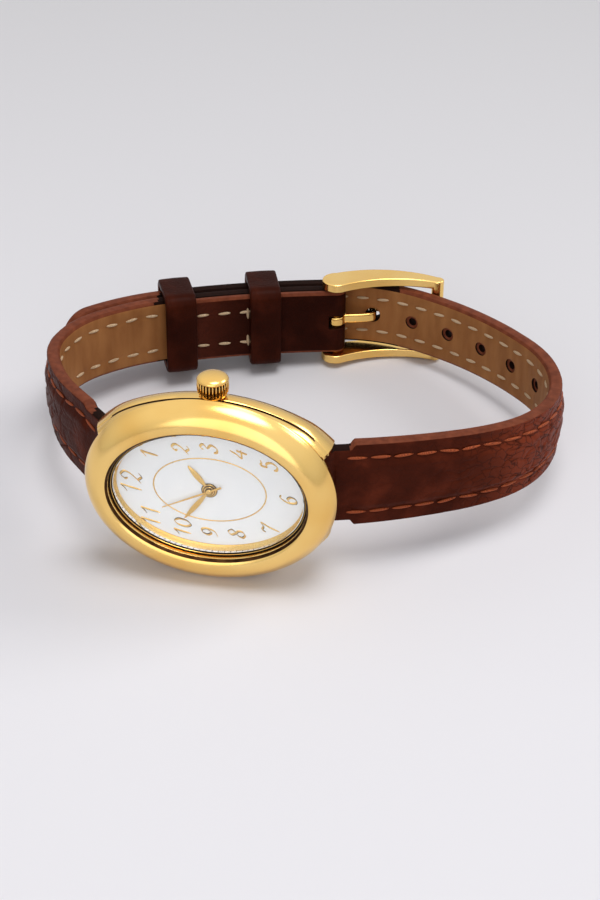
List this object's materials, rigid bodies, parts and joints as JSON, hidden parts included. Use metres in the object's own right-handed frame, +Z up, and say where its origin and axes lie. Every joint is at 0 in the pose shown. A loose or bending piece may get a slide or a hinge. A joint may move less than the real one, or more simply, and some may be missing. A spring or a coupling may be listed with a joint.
{
  "type": "wristwatch",
  "caption": "Oval quartz dress watch with a fluted crown, lying on its side with its padded leather strap buckled into a wrist loop.",
  "frame": {"origin": "centre of the bounding box's underside, on the surface that the watch lies on", "axes": "+X towards six o'clock along the dial's long axis, -Y the way the dial faces, +Z up, towards the crown"},
  "size_m": [0.0724, 0.0578, 0.0289],
  "materials": {
    "gold": "polished",
    "gold_hands": "polished",
    "crystal": "clear, polished",
    "dial": "smooth, slightly glossy",
    "seal": "matte",
    "steel": "satin",
    "movement_brass": "satin",
    "rotor": "satin",
    "holder": "matte",
    "battery": "satin",
    "board": "matte",
    "copper": "satin",
    "leather": "embossed, semi-gloss",
    "keeper_leather": "semi-gloss",
    "lining": "matte",
    "padding": "matte"
  },
  "bodies": {
    "case": {"case_middle": "gold", "bezel": "gold", "crystal": "crystal", "crystal_gasket": "seal", "dial_ring": "gold", "dial": "dial", "caseback": "steel", "caseback_gasket": "seal", "spring_bar_tubes": "steel", "spring_bar_pins": "steel", "crown_tube": "gold", "main_plate": "movement_brass", "movement_holder": "holder", "train_bridge": "movement_brass", "bridge_screws": "steel", "battery": "battery", "battery_clip": "steel", "circuit_board": "board", "quartz_can": "steel", "stator": "steel", "coil_core": "steel", "coil_winding": "copper", "long_strap_leather": "leather", "long_strap_lining": "lining", "long_strap_padding": "padding", "short_strap_leather": "leather", "short_strap_lining": "lining", "short_strap_padding": "padding", "fixed_keeper": "keeper_leather", "buckle_bar": "gold"},
    "second_hand": {"second_wheel": "movement_brass", "second_hand": "gold_hands"},
    "third_wheel": {"third_wheel": "movement_brass"},
    "centre_wheel": {"centre_wheel": "movement_brass"},
    "intermediate_wheel": {"intermediate_wheel": "movement_brass"},
    "rotor": {"rotor": "rotor"},
    "clutch_wheel": {"clutch_wheel": "steel"},
    "crown": {"crown": "gold", "stem": "steel", "crown_gasket": "seal"},
    "setting_wheel": {"setting_wheel": "movement_brass"},
    "minute_wheel": {"minute_wheel": "movement_brass"},
    "minute_hand": {"minute_hand": "gold_hands", "cannon_pinion": "movement_brass"},
    "hour_hand": {"hour_hand": "gold_hands", "hour_wheel": "movement_brass"},
    "free_keeper": {"free_keeper": "keeper_leather"},
    "buckle_frame": {"buckle_frame": "gold"},
    "tongue": {"tongue": "gold"}
  },
  "joints": [
    {"name": "second_hand_turn", "type": "hinge", "parent": "case", "child": "second_hand", "pos_m": [-0.00668, -0.02205, 0.01331], "axis": [0, 0.991, -0.134], "continuous": true},
    {"name": "third_wheel_turn", "type": "hinge", "parent": "case", "child": "third_wheel", "pos_m": [-0.00413, -0.02215, 0.01482], "axis": [0, 0.991, -0.134], "continuous": true},
    {"name": "centre_wheel_turn", "type": "hinge", "parent": "case", "child": "centre_wheel", "pos_m": [-0.00668, -0.02269, 0.0134], "axis": [0, 0.991, -0.134], "continuous": true},
    {"name": "intermediate_wheel_turn", "type": "hinge", "parent": "case", "child": "intermediate_wheel", "pos_m": [-0.00524, -0.0221, 0.01108], "axis": [0, 0.991, -0.134], "continuous": true},
    {"name": "rotor_turn", "type": "hinge", "parent": "case", "child": "rotor", "pos_m": [-0.00364, -0.02322, 0.01064], "axis": [0, 0.991, -0.134], "continuous": true},
    {"name": "crown_turn", "type": "hinge", "parent": "case", "child": "clutch_wheel", "pos_m": [-0.00668, -0.02136, 0.01877], "axis": [0, 0.134, 0.991], "continuous": true},
    {"name": "crown_pull", "type": "slide", "parent": "clutch_wheel", "child": "crown", "axis": [0, 0.134, 0.991], "range_m": [0, 0.0008]},
    {"name": "setting_wheel_turn", "type": "hinge", "parent": "case", "child": "setting_wheel", "pos_m": [-0.00645, -0.02312, 0.01788], "axis": [0, 0.991, -0.134], "continuous": true},
    {"name": "minute_wheel_turn", "type": "hinge", "parent": "case", "child": "minute_wheel", "pos_m": [-0.00822, -0.0234, 0.0158], "axis": [0, 0.991, -0.134], "continuous": true},
    {"name": "minute_hand_turn", "type": "hinge", "parent": "case", "child": "minute_hand", "pos_m": [-0.00668, -0.02479, 0.01369], "axis": [0, 0.991, -0.134], "continuous": true},
    {"name": "hour_hand_turn", "type": "hinge", "parent": "case", "child": "hour_hand", "pos_m": [-0.00668, -0.02463, 0.01366], "axis": [0, 0.991, -0.134], "continuous": true},
    {"name": "free_keeper_slide", "type": "slide", "parent": "case", "child": "free_keeper", "axis": [0.9173, 0.3945, -0.0533], "range_m": [0, 0.0075]},
    {"name": "buckle_swing", "type": "hinge", "parent": "case", "child": "buckle_frame", "pos_m": [0.00129, 0.0234, 0.00717], "axis": [0, 0.134, 0.991], "range_deg": [0, 3]},
    {"name": "tongue_swing", "type": "hinge", "parent": "buckle_frame", "child": "tongue", "pos_m": [0.00129, 0.0234, 0.00717], "axis": [0, 0.134, 0.991], "range_deg": [0, 5]}
  ],
  "couplings": [
    {"joint": "third_wheel_turn", "follows": "second_hand_turn", "ratio": -0.13333},
    {"joint": "centre_wheel_turn", "follows": "second_hand_turn", "ratio": 0.016667},
    {"joint": "intermediate_wheel_turn", "follows": "second_hand_turn", "ratio": -6},
    {"joint": "rotor_turn", "follows": "second_hand_turn", "ratio": 30},
    {"joint": "setting_wheel_turn", "follows": "crown_turn", "ratio": 0.66667},
    {"joint": "minute_wheel_turn", "follows": "crown_turn", "ratio": -0.22222},
    {"joint": "minute_hand_turn", "follows": "crown_turn", "ratio": 0.66667},
    {"joint": "hour_hand_turn", "follows": "crown_turn", "ratio": 0.055556}
  ]
}
